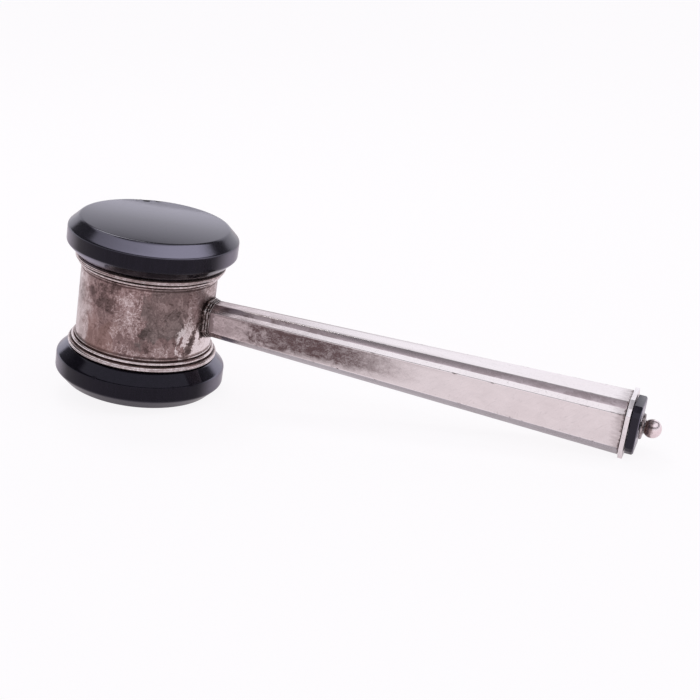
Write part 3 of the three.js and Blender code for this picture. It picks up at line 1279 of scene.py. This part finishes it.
def make_floor():
    bm = bmesh.new()
    bmesh.ops.create_grid(bm, x_segments=1, y_segments=1, size=floor_size / 2)
    mesh = bpy.data.meshes.new("floor")
    bm.to_mesh(mesh)
    bm.free()
    mesh.materials.append(floor_material())
    floor = new_object("floor", mesh)


def make_world():
    """Studio: white backdrop and horizon, a soft box high in front, a grey ceiling and a dim room."""
    world = bpy.data.worlds.new("studio")
    bpy.context.scene.world = world
    world.use_nodes = True
    tree = world.node_tree
    tree.nodes.clear()
    direction = add_node(tree, "ShaderNodeTexCoord").outputs["Generated"]
    parts = add_node(tree, "ShaderNodeSeparateXYZ", {"Vector": direction}).outputs
    x, y, z = parts["X"], parts["Y"], parts["Z"]
    backdrop = times(
        stepped(math("SUBTRACT", y, times(x, backdrop_turn)), *backdrop_front),
        stepped(z, *backdrop_top),
        graded(stepped(x, *backdrop_right), *backdrop_levels),
    )
    raised = added(z, times(x, soft_box_lean))
    behind = math("SUBTRACT", y, times(math("ABSOLUTE", x), soft_box_spread))
    overhead = added(times(z, ceiling_axis[0]), times(y, ceiling_axis[1]))
    soft_box = times(
        stepped(raised, *soft_box_foot),
        stepped(behind, *soft_box_back),
        stepped(overhead, *soft_box_top),
    )
    ceiling = times(
        graded(stepped(x, *ceiling_left), *ceiling_levels),
        graded(stepped(overhead, *ceiling_middle), *ceiling_gains),
    )
    above = stepped(overhead, *ceiling_edge)
    room = added(times(above, math("SUBTRACT", ceiling, room_level)), room_level)
    level = maximum(backdrop, stepped(z, *horizon_top), soft_box, room)
    camera = add_node(tree, "ShaderNodeLightPath").outputs["Is Camera Ray"]
    shown = mixed(camera, mixed(level, black, studio_tint), white)
    background = add_node(tree, "ShaderNodeBackground", {"Color": shown})
    add_node(tree, "ShaderNodeOutputWorld", {"Surface": background.outputs[0]})


def facing(azimuth, elevation):
    """Direction at an angle round the gavel from its front, and at one above the floor."""
    flat = cos(elevation)
    return Vector((sin(azimuth) * flat, -cos(azimuth) * flat, sin(elevation)))


def make_lamp():
    """Soft lamp, high behind and to the left, for the small highlights."""
    data = bpy.data.lights.new("lamp", "AREA")
    data.size = lamp_size
    data.energy = lamp_power
    data.specular_factor = lamp_gloss
    lamp = new_object("lamp", data)
    seat = facing(lamp_azimuth, lamp_elevation)
    lamp.location = seat * lamp_distance
    lamp.rotation_euler = seat.to_track_quat("Z", "Y").to_euler()


def make_camera():
    """Camera that sees the gavel as the photograph does."""
    data = bpy.data.cameras.new("camera")
    data.lens = camera_lens
    camera = new_object("camera", data)
    seat = facing(camera_azimuth, camera_elevation)
    camera.location = axes.translation + Vector(camera_aim) + seat * camera_distance
    turn = seat.to_track_quat("Z", "Y") @ Quaternion((0, 0, 1), camera_roll)
    camera.rotation_euler = turn.to_euler()
    bpy.context.scene.camera = camera


ebony = ebony_material()
drum_silver = drum_silver_material()
collar_silver = collar_silver_material()
worn_edge = worn_edge_material()
handle_silver = handle_silver_material()
polished_silver = polished_silver_material()
washer_silver = washer_silver_material()
ring_silver = ring_silver_material()

cap_piece("upper", upper_dents)
cap_piece("lower", lower_dents)
for cap_side in ("upper", "lower"):
    half_round_piece(cap_side, "flange", crown_line_depth)
    half_round_piece(cap_side, "bead", 0)
drum_piece()
eased_copy("root_collar", "collar", [collar_silver, worn_edge], collar_edge)
tube_piece()
eased_copy("end_plate", "plate", [polished_silver], plate_edge)
eased_copy("end_block", "block", [ebony], block_edge)
washer_piece()
ball_piece()
dress(("head_core", "handle_core"), core_wood_material())
dress(("anchor_nut", "tie_rod"), plain_steel_material())

make_floor()
make_world()
make_lamp()
make_camera()
bpy.context.scene.view_settings.view_transform = "Standard"
